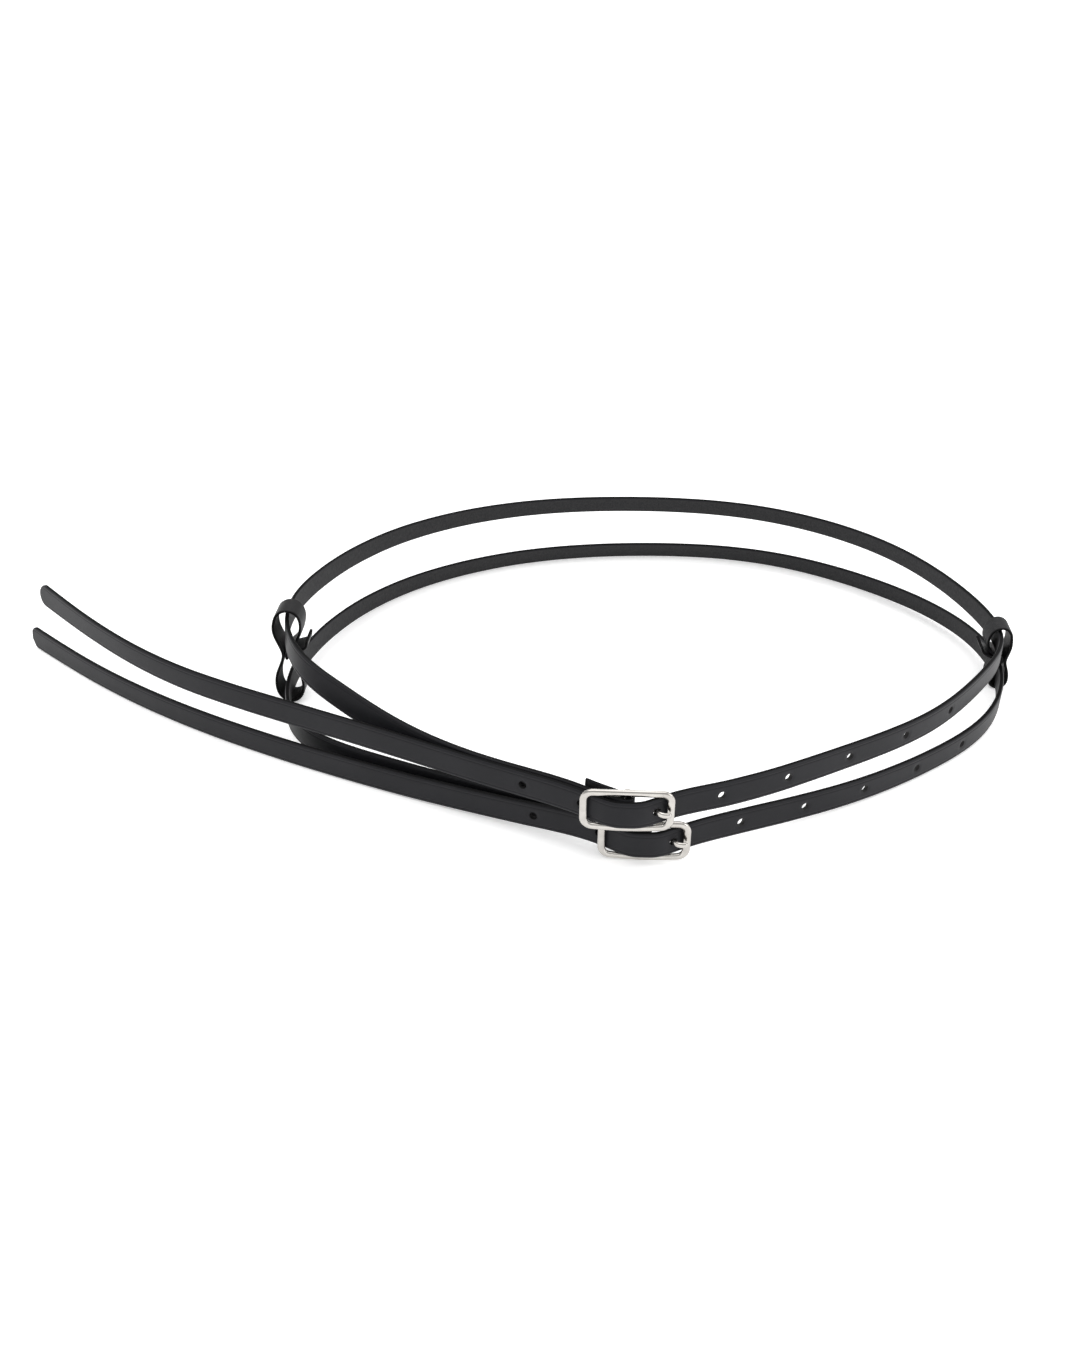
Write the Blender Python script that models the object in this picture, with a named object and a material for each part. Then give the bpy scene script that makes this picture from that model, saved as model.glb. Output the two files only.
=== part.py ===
"""Double-strap leather belt: two narrow straps, each closed by a double-bar buckle, joined by two loops.

Lengths are in millimetres and are scaled to metres as each mesh is made. The belt stands on the floor
with its buckles at the front (-Y) and its free tails to the left (-X).
"""

import math

import bmesh
import bpy
import numpy as np
from mathutils import Matrix, Vector

MM = 0.001
CENTRE = np.array([63.47, 5.88, 0.0])  # added to every point, so that the whole belt is centred on the origin

# Leather straps
STRAP_WIDTH = 10.0
STRAP_THICKNESS = 1.8
SKIVED_THICKNESS = 1.2  # where the strap end is thinned to wrap the centre bar
STRAP_CHAMFER = 0.35
STEP = 8.0  # distance between cross-sections on the open ring
HOLE_DIAMETER = 3.1
HOLES = {  # along the strap from the hole in use
    "upper": (-50.0, -27.0, 0.0, 25.5, 52.8, 80.4, 108.2, 136.0),
    "lower": (-53.0, -27.0, 0.0, 28.5, 56.0, 83.5, 111.0, 139.0),
}

# Buckles
FRAME_LENGTH = 32.0
FRAME_HEIGHT = 16.2
FRAME_WIRE = 2.2
FRAME_CORNER = 3.1  # radius of the wire's centre line
FRAME_BOW = 0.6  # how far the long sides arch outwards at the middle
FRAME_BARREL = 0.4  # how far the long sides belly up and down at the middle
BAR_DIAMETER = 1.9
BAR_RECESS = 0.8  # the centre bar sits this far behind the frame
PRONG_DIAMETER = 1.6
PRONG_EYE_RADIUS = 1.95
PRONG_SLOT = 2.7  # width of the slot in the wrapped strap end
BUCKLE_YAW = -3.0
BUCKLE_LEAN = 2.0  # the strap's top edge leans back this far inside its buckle
UPPER_BUCKLE = (-18.5, -136.4, 23.8)
LOWER_BUCKLE = (-11.8, -133.4, 8.9)

# Connecting loops and thread
STRIP_WIDTH = 11.5
STRIP_THICKNESS = 1.2
STRIP_CHAMFER = 0.25
THREAD_DIAMETER = 0.5
STITCH_HOLE = 0.9
STITCH_PITCH = 2.0
RIGHT_WAIST = (154.2, -11.0, 13.8)
LEFT_WAIST = (-154.7, -22.6, 23.2)
RIGHT_HEADING = 9.0  # the right-hand strip follows the straps, which are turned this far from straight back

TILT_AXIS = (-154.0, -22.6, 35.4)  # the upper strap rocks about a line from here to the right-hand loop

# Centre line of each figure-eight strip in its own plane, away from the middle of the belt and up, measured
# from its sewn waist. It runs from the tab on the inside round the lower loop, up the outside, round the
# upper loop and back down between its own layers.
RIGHT_LOOP = (
    (-9.4, 5.8),
    (-8.3, 3.6),
    (-5.0, 1.6),
    (-2.7, 1.1),
    (-1.6, 0.5),
    (-1.5, -0.3),
    (-2.1, -2.4),
    (-3.4, -7.5),
    (-2.6, -11.9),
    (0.2, -13.2),
    (2.9, -11.9),
    (3.6, -7.5),
    (2.1, -2.5),
    (1.5, -0.3),
    (1.6, 1.6),
    (2.4, 6.5),
    (2.1, 10.2),
    (0.6, 14.2),
    (-2.4, 15.6),
    (-5.4, 14.3),
    (-7.1, 11.0),
    (-7.0, 7.0),
    (-5.0, 4.0),
    (-2.6, 2.7),
    (-0.9, 1.9),
    (-0.1, 0.7),
    (0.0, -0.3),
    (0.0, -1.3),
)
LEFT_LOOP = (
    (-9.2, 6.6),
    (-8.4, 3.6),
    (-3.6, 1.7),
    (-1.5, 0.0),
    (-2.0, -2.4),
    (-5.2, -10.0),
    (-5.6, -14.5),
    (-4.0, -20.2),
    (0.2, -22.58),
    (4.3, -20.2),
    (5.8, -14.5),
    (5.0, -9.5),
    (2.1, -2.6),
    (1.5, 0.0),
    (1.9, 2.6),
    (3.4, 7.0),
    (4.3, 11.0),
    (3.7, 15.5),
    (1.4, 19.4),
    (-2.0, 20.6),
    (-5.6, 19.2),
    (-7.2, 15.5),
    (-6.6, 10.5),
    (-3.4, 4.6),
    (-0.6, 1.8),
    (0.0, 0.0),
    (0.0, -2.0),
)

# Centre line of each strap away from its buckle: x, y, z, lean of the top edge towards the middle (degrees)
UPPER_TAIL = (
    (-275.2, 19.9, 29.5, 10.0),
    (-236.5, -17.5, 27.8, 3.0),
    (-194.0, -50.5, 26.4, 2.0),
    (-148.0, -74.5, 25.0, 2.0),
    (-99.0, -98.0, 23.8, 2.0),
    (-60.0, -118.0, 23.5, 2.0),
)
UPPER_RING = (
    (14.2, -127.4, 23.4, 3.0),
    (61.0, -105.3, 23.4, 1.0),
    (101.0, -80.8, 23.9, -1.0),
    (130.5, -50.7, 24.2, 0.0),
    (151.5, -11.0, 22.8, 4.0),
    (145.0, 28.0, 26.3, 13.0),
    (119.0, 78.0, 28.8, 21.0),
    (69.5, 115.0, 30.2, 25.0),
    (7.0, 126.0, 31.2, 26.0),
    (-58.5, 116.5, 32.0, 23.0),
    (-117.5, 77.3, 33.4, 16.0),
    (-147.4, 25.0, 34.8, 8.0),
    (-154.0, -22.0, 35.4, 6.0),
    (-140.6, -57.0, 33.6, 12.0),
    (-124.0, -74.0, 30.6, 18.0),
    (-104.0, -89.4, 26.6, 12.0),
    (-62.0, -114.8, 23.8, 4.0),
)
LOWER_TAIL = (
    (-285.8, 23.9, 5.08, 8.0),
    (-243.0, -12.9, 5.05, 2.0),
    (-198.5, -44.4, 5.05, 1.0),
    (-142.5, -75.6, 5.1, 1.0),
    (-92.5, -99.1, 5.6, 1.0),
    (-50.0, -117.6, 7.4, 1.0),
)
LOWER_RING = (
    (18.5, -123.8, 7.9, 3.0),
    (63.5, -103.8, 5.8, 1.0),
    (105.0, -79.3, 5.25, -1.0),
    (135.0, -53.2, 5.7, 0.0),
    (154.4, -11.0, 6.6, 3.0),
    (151.4, 30.0, 6.3, 15.0),
    (122.5, 79.0, 5.2, 21.0),
    (72.0, 115.0, 5.0, 26.0),
    (8.0, 125.5, 4.9, 28.0),
    (-58.5, 114.5, 5.0, 25.0),
    (-118.5, 76.0, 5.2, 17.0),
    (-149.4, 20.0, 6.6, 7.0),
    (-155.6, -22.0, 7.0, 4.0),
    (-145.6, -60.0, 7.0, 3.0),
    (-103.5, -89.0, 6.8, 2.0),
    (-55.0, -111.4, 7.6, 0.0),
)

# Beside the bars, in the buckle's own axes: u to the right along the strap, n outwards
FREE_LAYER = ((-15.1, -3.0), (-9.5, 0.4), (-4.2, 2.95), (0.0, 3.2), (4.2, 2.85), (9.6, 0.2), (15.1, -3.0))
WRAP_LAYER = ((-15.1, -5.9), (-9.5, -2.5), (-4.5, -0.05))
BACK_LAYER = ((-4.5, -4.1, 0.6), (-9.5, -6.2, 1.1), (-14.2, -8.7, 1.4))
WRAP_RADIUS = 2.0
PRONG_SHANK = (
    (2.6, 0.5),
    (5.2, -0.8),
    (7.6, -1.35),
    (8.95, -0.8),
    (9.7, 0.3),
    (10.6, 1.6),
    (12.2, 2.6),
    (13.6, 2.65),
    (14.9, 2.3),
)

# Colour, roughness and metallic value of each kind of piece
STRAP_LEATHER = ((0.012, 0.012, 0.013), 0.45, 0.0)
STRIP_LEATHER = ((0.014, 0.014, 0.015), 0.5, 0.0)
NICKEL = ((0.62, 0.60, 0.56), 0.2, 1.0)
THREAD = ((0.02, 0.02, 0.02), 0.7, 0.0)


def clear_scene():
    for obj in list(bpy.data.objects):
        bpy.data.objects.remove(obj, do_unlink=True)


def collection(name):
    made = bpy.data.collections.new(name)
    bpy.context.scene.collection.children.link(made)
    return made


def principled(name, look):
    colour, roughness, metallic = look
    made = bpy.data.materials.new(name)
    made.use_nodes = True
    shader = made.node_tree.nodes["Principled BSDF"]
    shader.inputs["Base Color"].default_value = (*colour, 1.0)
    shader.inputs["Roughness"].default_value = roughness
    shader.inputs["Metallic"].default_value = metallic
    return made


def unit(vectors):
    return vectors / np.linalg.norm(vectors, axis=-1, keepdims=True)


class Route:
    """A smooth curve through given rows (x, y, z and any other channels), read by distance along its chords."""

    def __init__(self, rows):
        self.rows = np.array(rows, float)
        chords = np.linalg.norm(np.diff(self.rows[:, :3], axis=0), axis=1)
        self.knots = np.concatenate([[0.0], np.cumsum(chords)])
        count = len(self.knots)
        system = np.zeros((count, count))
        right = np.zeros((count, self.rows.shape[1]))
        system[0, 0] = system[-1, -1] = 1.0
        for i in range(1, count - 1):
            before, after = chords[i - 1], chords[i]
            system[i, i - 1 : i + 2] = before, 2.0 * (before + after), after
            rise, fall = self.rows[i + 1] - self.rows[i], self.rows[i] - self.rows[i - 1]
            right[i] = 6.0 * (rise / after - fall / before)
        self.second = np.linalg.solve(system, right)

    def at(self, distances):
        distances = np.asarray(distances, float)
        index = np.clip(np.searchsorted(self.knots, distances, side="right") - 1, 0, len(self.knots) - 2)
        span = (self.knots[index + 1] - self.knots[index])[:, None]
        b = ((distances - self.knots[index])[:, None]) / span
        a = 1.0 - b
        bend = ((a**3 - a) * self.second[index] + (b**3 - b) * self.second[index + 1]) * span**2 / 6.0
        return a * self.rows[index] + b * self.rows[index + 1] + bend

    def direction(self, distances):
        distances = np.asarray(distances, float)
        return unit(self.at(distances + 0.02)[:, :3] - self.at(distances - 0.02)[:, :3])

    def stations(self, step, least):
        """Distances along the route: at least this many in each span, and no further apart than the step."""
        spans = []
        for start, end in zip(self.knots[:-1], self.knots[1:]):
            parts = max(least, math.ceil((end - start) / step))
            spans.append(np.linspace(start, end, parts, endpoint=False))
        return np.concatenate([*spans, [self.knots[-1]]])


def finish(name, vertices, faces, look, parts):
    """Makes a mesh object from points in millimetres, in the shared frame."""
    mesh = bpy.data.meshes.new(name)
    mesh.from_pydata([tuple((np.asarray(v) + CENTRE) * MM) for v in vertices], [], faces)
    mesh.materials.append(principled(name, look))
    obj = bpy.data.objects.new(name, mesh)
    parts.objects.link(obj)
    return obj


def loft(name, points, across, outward, top, bottom, thickness, chamfer, look, parts):
    """A flat strap: at each point a chamfered rectangle from bottom to top across it, this thick."""
    vertices = []
    for p, w, m, high, low, thick in zip(points, across, outward, top, bottom, thickness):
        cut = min(chamfer, 0.2 * (high - low))
        half = thick / 2.0
        for a, b in (
            (high, -half + cut),
            (high, half - cut),
            (high - cut, half),
            (low + cut, half),
            (low, half - cut),
            (low, -half + cut),
            (low + cut, -half),
            (high - cut, -half),
        ):
            vertices.append(p + a * w + b * m)
    faces = [tuple(reversed(range(8))), tuple(range(8 * (len(points) - 1), 8 * len(points)))]
    for i in range(len(points) - 1):
        for j in range(8):
            k = (j + 1) % 8
            faces.append((8 * i + j, 8 * i + k, 8 * i + 8 + k, 8 * i + 8 + j))
    return finish(name, vertices, faces, look, parts)


def wire(name, points, diameter, closed, look, parts, sides=3):
    """A round wire along a polyline, made by a bevelled curve."""
    curve = bpy.data.curves.new(name, "CURVE")
    curve.dimensions = "3D"
    curve.bevel_depth = diameter / 2.0 * MM
    curve.bevel_resolution = sides
    curve.use_fill_caps = True
    line = curve.splines.new("POLY")
    line.points.add(len(points) - 1)
    for knot, point in zip(line.points, points):
        knot.co = (*((np.asarray(point) + CENTRE) * MM), 1.0)
    line.use_cyclic_u = closed
    shape = bpy.data.objects.new(name + "_curve", curve)
    bpy.context.scene.collection.objects.link(shape)
    mesh = bpy.data.meshes.new_from_object(shape.evaluated_get(bpy.context.evaluated_depsgraph_get()))
    bpy.data.objects.remove(shape, do_unlink=True)
    mesh.name = name
    mesh.materials.clear()
    mesh.materials.append(principled(name, look))
    weld_and_orient(mesh)
    obj = bpy.data.objects.new(name, mesh)
    parts.objects.link(obj)
    return obj


def weld_and_orient(mesh):
    shape = bmesh.new()
    shape.from_mesh(mesh)
    bmesh.ops.remove_doubles(shape, verts=shape.verts, dist=1e-6)
    bmesh.ops.recalc_face_normals(shape, faces=shape.faces)
    shape.to_mesh(mesh)
    shape.free()


def rods(name, ends, diameter, segments, cutters):
    """Straight cutters, one for each pair of end points, in one mesh."""
    shape = bmesh.new()
    for start, end in ends:
        start, end = Vector(start + CENTRE) * MM, Vector(end + CENTRE) * MM
        turn = (end - start).to_track_quat("Z", "Y").to_matrix().to_4x4()
        bmesh.ops.create_cone(
            shape,
            cap_ends=True,
            segments=segments,
            radius1=diameter / 2.0 * MM,
            radius2=diameter / 2.0 * MM,
            depth=(end - start).length,
            matrix=Matrix.Translation((start + end) / 2.0) @ turn,
        )
    return cutter(name, shape, cutters)


def cutter(name, shape, cutters):
    mesh = bpy.data.meshes.new(name)
    shape.to_mesh(mesh)
    shape.free()
    obj = bpy.data.objects.new(name, mesh)
    obj.hide_render = True
    obj.display_type = "WIRE"
    cutters.objects.link(obj)
    return obj


def boolean(obj, other, operation="DIFFERENCE"):
    modifier = obj.modifiers.new(other.name, "BOOLEAN")
    modifier.operation = operation
    modifier.solver = "EXACT"
    modifier.object = other


class Buckle:
    """The axes of one buckle: u along the strap, n outwards, w up the centre bar."""

    def __init__(self, origin):
        yaw = math.radians(BUCKLE_YAW)
        self.origin = np.array(origin)
        self.u = np.array([math.cos(yaw), math.sin(yaw), 0.0])
        self.n = np.array([math.sin(yaw), -math.cos(yaw), 0.0])
        self.w = np.array([0.0, 0.0, 1.0])

    def point(self, u, n, w=0.0):
        return self.origin + u * self.u + n * self.n + w * self.w


def make_frame(side, buckle, parts, cutters):
    """The rounded-rectangle frame and the centre bar, cast in one piece."""
    half_u = (FRAME_LENGTH - FRAME_WIRE) / 2.0
    half_w = (FRAME_HEIGHT - FRAME_WIRE) / 2.0
    corners = []
    for cu, cw, start in ((1, 1, 0), (-1, 1, 90), (-1, -1, 180), (1, -1, 270)):
        for angle in np.radians(np.linspace(start, start + 90, 6)):
            corners.append(
                (
                    cu * (half_u - FRAME_CORNER) + FRAME_CORNER * math.cos(angle),
                    cw * (half_w - FRAME_CORNER) + FRAME_CORNER * math.sin(angle),
                )
            )
    outline = []
    for (u, w), (next_u, next_w) in zip(corners, corners[1:] + corners[:1]):
        parts_along = 8 if abs(next_u - u) > 6.0 else 1
        for i in range(parts_along):
            outline.append((u + (next_u - u) * i / parts_along, w + (next_w - w) * i / parts_along))
    points = []
    for u, w in outline:
        arch = math.cos(math.pi * u / (2.0 * half_u))
        points.append(buckle.point(u, FRAME_BOW * arch, w + FRAME_BARREL * arch * w / half_w))
    frame = wire(side + "_buckle_frame", points, FRAME_WIRE, True, NICKEL, parts, sides=4)
    reach = half_w + FRAME_BARREL
    ends = [(buckle.point(0.0, -BAR_RECESS, -reach), buckle.point(0.0, -BAR_RECESS, reach))]
    bar = rods(side + "_centre_bar", ends, BAR_DIAMETER, 20, cutters)
    boolean(frame, bar, "UNION")
    return frame


def make_prong(side, buckle, parts):
    """A rod curled round the centre bar, bent up through the strap's hole to rest on the right-hand bar."""
    eye = [
        (PRONG_EYE_RADIUS * math.cos(a), -BAR_RECESS + PRONG_EYE_RADIUS * math.sin(a))
        for a in np.radians(np.linspace(-25.0, -270.0, 8))
    ]
    route = Route([buckle.point(u, n) for u, n in [*eye, *PRONG_SHANK]])
    points = route.at(route.stations(1.2, 3))[:, :3]
    return wire(side + "_prong", points, PRONG_DIAMETER, False, NICKEL, parts)


def strap_route(tail, ring, buckle):
    """Every control point of one strap, and how many of them come before the hole in use and the wrap."""
    wrap = [
        (WRAP_RADIUS * math.cos(a), -BAR_RECESS + WRAP_RADIUS * math.sin(a))
        for a in np.radians(np.linspace(90.0, -90.0, 7))
    ]
    rows = [*tail]
    rows += [(*buckle.point(u, n), BUCKLE_LEAN) for u, n in FREE_LAYER]
    in_use = len(tail) + 5
    rows += [*ring]
    thinned = len(rows) + 1
    rows += [(*buckle.point(u, n), 0.0) for u, n in [*WRAP_LAYER, *wrap]]
    rows += [(*buckle.point(u, n, w), 0.0) for u, n, w in BACK_LAYER]
    return Route(rows), in_use, thinned


def strap_axes(route, distances):
    """Points, width directions and outward directions at these distances."""
    rows = route.at(distances)
    along = route.direction(distances)
    up = np.array([0.0, 0.0, 1.0])
    side = unit(np.cross(along, up))
    lean = np.radians(rows[:, 3])[:, None]
    across = up * np.cos(lean) - side * np.sin(lean)
    across = unit(across - (across * along).sum(axis=1)[:, None] * along)
    return rows[:, :3], across, np.cross(along, across)


def make_strap(side, tail, ring, buckle, clipped, parts, cutters):
    route, in_use, thinned = strap_route(tail, ring, buckle)
    tip = np.array([0.15, 0.5, 1.0, 1.7, 2.6, 3.7, 5.0])
    distances = route.stations(STEP, 2)
    distances = np.concatenate([tip, distances[distances > 6.0]])
    points, across, outward = strap_axes(route, distances)
    half = STRAP_WIDTH / 2.0
    if clipped:  # one corner rounded, the other cut off straight
        near = np.minimum(distances, 3.2)
        top = half - 3.2 + np.sqrt(3.2**2 - (3.2 - near) ** 2)
        bottom = -half + np.maximum(0.0, 3.4 - 1.15 * distances)
    else:
        near = np.minimum(distances, half)
        top = np.sqrt(half**2 - (half - near) ** 2)
        bottom = -top
    skive_from, skive_to = route.knots[thinned - 1], route.knots[thinned + 1]
    thickness = np.interp(distances, [skive_from, skive_to], [STRAP_THICKNESS, SKIVED_THICKNESS])
    name = side + "_strap"
    strap = loft(name, points, across, outward, top, bottom, thickness, STRAP_CHAMFER, STRAP_LEATHER, parts)

    holes = route.knots[in_use] + np.array(HOLES[side])
    points, _, outward = strap_axes(route, holes)
    reach = STRAP_THICKNESS / 2.0 + 0.25
    ends = [(p - reach * m, p + reach * m) for p, m in zip(points, outward)]
    boolean(strap, rods(side + "_hole_punches", ends, HOLE_DIAMETER, 24, cutters))

    slot = bmesh.new()
    bmesh.ops.create_cube(slot, size=1.0)
    axes = Matrix(np.array([buckle.u, buckle.n, buckle.w]).T).to_4x4()
    centre = Vector(buckle.point(-0.3, -1.4) + CENTRE) * MM
    size = Matrix.Diagonal((7.8 * MM, 6.5 * MM, PRONG_SLOT * MM, 1.0))
    bmesh.ops.transform(slot, matrix=Matrix.Translation(centre) @ axes @ size, verts=slot.verts)
    bmesh.ops.recalc_face_normals(slot, faces=slot.faces)
    boolean(strap, cutter(side + "_prong_slot", slot, cutters))
    return strap


def stitch(name, centres, through, front, back, parts):
    """One thread that goes over and under between these holes."""
    points = []
    for i, centre in enumerate(centres):
        pair = [centre + front * through, centre - back * through]
        points += pair if i % 2 == 0 else pair[::-1]
    return wire(name, points, THREAD_DIAMETER, False, THREAD, parts, sides=1)


def stitch_turnback(side, strap, buckle, parts, cutters):
    """Sews the turned-back end to the strap, left of the prong's slot."""
    slope = math.atan2(2.5, 5.0)
    through = -math.sin(slope) * buckle.u + math.cos(slope) * buckle.n
    offsets = STITCH_PITCH * (np.arange(4) - 1.5)
    centres = [buckle.point(-8.4, -3.6, w) for w in offsets]
    ends = [(c - 2.7 * through, c + 2.5 * through) for c in centres]
    boolean(strap, rods(side + "_stitch_punches", ends, STITCH_HOLE, 10, cutters))
    return stitch(side + "_turnback_stitching", centres, through, 2.6, 2.7, parts)


def make_connector(side, outward_x, waist, heading, outline, parts, cutters):
    """A leather strip wound round both straps and sewn through its waist."""
    turn = math.radians(heading)
    sideways = outward_x * np.array([math.cos(turn), -math.sin(turn), 0.0])
    along_strap = np.array([math.sin(turn), math.cos(turn), 0.0])
    waist = np.array(waist)
    route = Route([waist + h * sideways + v * np.array([0.0, 0.0, 1.0]) for h, v in outline])
    distances = route.stations(2.0, 3)
    points = route.at(distances)[:, :3]
    along = route.direction(distances)
    across = np.tile(along_strap, (len(points), 1))
    outward = np.cross(along, across)
    half = np.full(len(points), STRIP_WIDTH / 2.0)
    strip = loft(
        side + "_connector",
        points,
        across,
        outward,
        half,
        -half,
        np.full(len(points), STRIP_THICKNESS),
        STRIP_CHAMFER,
        STRIP_LEATHER,
        parts,
    )
    centres = [waist + offset * along_strap for offset in STITCH_PITCH * (np.arange(4) - 1.5)]
    ends = [(c - 3.0 * sideways, c + 3.0 * sideways) for c in centres]
    boolean(strip, rods(side + "_stitch_punches", ends, STITCH_HOLE, 10, cutters))
    return strip, stitch(side + "_connector_stitching", centres, sideways, 2.5, 2.5, parts)


def pivot(name, point, members, parts):
    """An empty on a joint's axis, which carries the pieces that move about it."""
    empty = bpy.data.objects.new(name, None)
    empty.empty_display_size = 0.01
    empty.location = (np.asarray(point) + CENTRE) * MM
    parts.objects.link(empty)
    for obj in members:
        obj.parent = empty
        obj.matrix_parent_inverse = Matrix.Translation(-empty.location)
    return empty


def make_belt(side, tail, ring, origin, clipped, parts, cutters):
    """One strap with its buckle. Returns the pieces and empties that the strap carries, with the strap."""
    buckle = Buckle(origin)
    strap = make_strap(side, tail, ring, buckle, clipped, parts, cutters)
    thread = stitch_turnback(side, strap, buckle, parts, cutters)
    bar = buckle.point(0.0, -BAR_RECESS)
    prong = pivot(side + "_prong_pivot", bar, [make_prong(side, buckle, parts)], parts)
    frame = pivot(side + "_buckle_pivot", bar, [make_frame(side, buckle, parts, cutters), prong], parts)
    return [strap, thread, frame]


def main():
    clear_scene()
    parts = collection("double_strap_belt")
    cutters = collection("cutters")
    upper = make_belt("upper", UPPER_TAIL, UPPER_RING, UPPER_BUCKLE, False, parts, cutters)
    make_belt("lower", LOWER_TAIL, LOWER_RING, LOWER_BUCKLE, True, parts, cutters)
    pivot("upper_belt_tilt", TILT_AXIS, upper, parts)

    pieces = make_connector("right", 1, RIGHT_WAIST, RIGHT_HEADING, RIGHT_LOOP, parts, cutters)
    pivot("right_loop_slide", RIGHT_WAIST, pieces, parts)
    pieces = make_connector("left", -1, LEFT_WAIST, 0.0, LEFT_LOOP, parts, cutters)
    pivot("left_loop_slide", LEFT_WAIST, pieces, parts)


main()
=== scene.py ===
"""Looks of a double-strap leather belt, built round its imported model.

Lengths are in millimetres and are scaled to metres as each mesh is made. The strap and loop routes repeat
those of the model, and every leather piece, buckle and thread is a finer mesh that stands for its plain one.
"""

import math

import bmesh
import bpy
import numpy as np
from mathutils import Matrix, Vector, noise


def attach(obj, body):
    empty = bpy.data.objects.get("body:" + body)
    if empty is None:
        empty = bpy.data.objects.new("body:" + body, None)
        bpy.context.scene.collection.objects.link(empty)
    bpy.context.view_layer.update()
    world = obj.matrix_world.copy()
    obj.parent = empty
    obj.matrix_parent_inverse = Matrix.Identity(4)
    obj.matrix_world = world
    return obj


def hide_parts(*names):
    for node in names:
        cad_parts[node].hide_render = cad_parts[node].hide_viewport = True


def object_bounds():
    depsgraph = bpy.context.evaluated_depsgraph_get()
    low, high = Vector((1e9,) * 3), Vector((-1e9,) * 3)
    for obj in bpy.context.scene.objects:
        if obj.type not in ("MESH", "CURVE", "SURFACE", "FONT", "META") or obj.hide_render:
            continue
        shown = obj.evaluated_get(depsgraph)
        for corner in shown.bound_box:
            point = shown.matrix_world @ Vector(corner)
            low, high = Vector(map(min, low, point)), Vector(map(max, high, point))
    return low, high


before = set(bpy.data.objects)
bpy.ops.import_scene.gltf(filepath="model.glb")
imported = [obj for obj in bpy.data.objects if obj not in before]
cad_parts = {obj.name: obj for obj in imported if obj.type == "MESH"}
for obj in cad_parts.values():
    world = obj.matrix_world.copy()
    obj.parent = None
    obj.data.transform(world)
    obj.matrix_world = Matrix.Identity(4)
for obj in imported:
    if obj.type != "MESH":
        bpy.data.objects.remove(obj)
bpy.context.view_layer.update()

MM = 0.001
CENTRE = np.array([63.47, 5.88, 0.0])
UP = np.array([0.0, 0.0, 1.0])

# Camera
CAMERA_PLACE = (-47.73, -434.15, 248.03)
CAMERA_PITCH = 60.0
CAMERA_LENS = 29.333

# Studio: the floor's own faint light, and light from the room by height above the horizon (sine of the angle)
FLOOR_GLOW = 0.34
SKY_BRIGHTEST = 2.2
SKY = ((0.0, 1.1), (0.12, 1.08), (0.3, 0.62), (0.62, 0.6), (0.85, 1.75), (1.0, 2.2))

# Straps
STRAP_WIDTH = 10.05
STRAP_THICKNESS = 1.82
SKIVED_THICKNESS = 1.2
STEP = 2.0
HOLE_DIAMETER = 3.1
HOLE_IN_USE = 2  # place of the prong's hole in each list below
FILLED_HOLE_DIAMETER = 2.8
FILLED_HOLE_STRETCH = -0.3  # how far along the strap the prong has drawn its hole out
HOLES = {  # along the strap from the hole in use
    "upper": (-50.0, -27.0, 0.0, 25.5, 52.8, 80.4, 108.2, 136.0),
    "lower": (-53.0, -27.0, 0.0, 28.5, 56.0, 83.5, 111.0, 139.0),
}
HOLE_CUT_REACH = 1.6
FILLED_HOLE_CUT_REACH = 2.6
HOLE_DISH = 0.14
HOLE_DISH_REACH = 1.3
CREASE_PLACE = 1.35
CREASE_DEPTH = 0.12
SHOULDER_STRETCH = 1.5  # an edge's shoulder is this much wider than it is deep

# Buckles
FRAME_LENGTH = 32.0
FRAME_HEIGHT = 16.2
FRAME_WIRE = 2.6
FRAME_FLATNESS = 0.7  # the wire's depth as a share of its height
FRAME_CORNER = 3.1
FRAME_BOW = 0.6
FRAME_BARREL = 0.4
BAR_DIAMETER = 1.9
BAR_RECESS = 0.8
PRONG_WIDTH = 2.25
PRONG_THICKNESS = 1.5
PRONG_EYE_RADIUS = 1.95
PRONG_SLOT = 2.7
PRONG_SLOT_LENGTH = 7.8
PRONG_SLOT_DEPTH = 6.5
PRONG_SLOT_CENTRE = (-0.3, -1.4)  # along and out
BUCKLE_YAW = -3.0
BUCKLE_LEAN = 2.0
UPPER_BUCKLE = (-18.5, -136.4, 23.8)
LOWER_BUCKLE = (-11.8, -133.4, 8.9)

# Connecting loops and thread
STRIP_WIDTH = 11.5
STRIP_THICKNESS = 1.16
THREAD_DIAMETER = 0.5
STITCH_HOLE = 0.9
STITCH_PITCH = 2.0
TURNBACK_SEAM = (-8.4, -3.6)  # along and out
RIGHT_WAIST = (154.2, -11.0, 13.8)
LEFT_WAIST = (-154.7, -22.6, 23.2)
RIGHT_HEADING = 9.0

# Rise of the thread along one stitch, as shares of the stitch's length and height
STITCH_ARCH = ((0.06, 0.55), (0.16, 0.93), (0.32, 1.02), (0.5, 1.05), (0.68, 1.02), (0.84, 0.93), (0.94, 0.55))

# Centre line of each figure-eight strip in its own plane, away from the middle of the belt and up, measured
# from its sewn waist. It runs from the tab on the inside round the lower loop, up the outside, round the
# upper loop and back down between its own layers.
RIGHT_LOOP = (
    (-9.4, 5.8),
    (-8.3, 3.6),
    (-5.0, 1.6),
    (-2.7, 1.1),
    (-1.6, 0.5),
    (-1.5, -0.3),
    (-2.1, -2.4),
    (-3.4, -7.5),
    (-2.6, -11.9),
    (0.2, -13.2),
    (2.9, -11.9),
    (3.6, -7.5),
    (2.1, -2.5),
    (1.5, -0.3),
    (1.6, 1.6),
    (2.4, 6.5),
    (2.1, 10.2),
    (0.6, 14.2),
    (-2.4, 15.6),
    (-5.4, 14.3),
    (-7.1, 11.0),
    (-7.0, 7.0),
    (-5.0, 4.0),
    (-2.6, 2.7),
    (-0.9, 1.9),
    (-0.1, 0.7),
    (0.0, -0.3),
    (0.0, -1.3),
)
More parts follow.
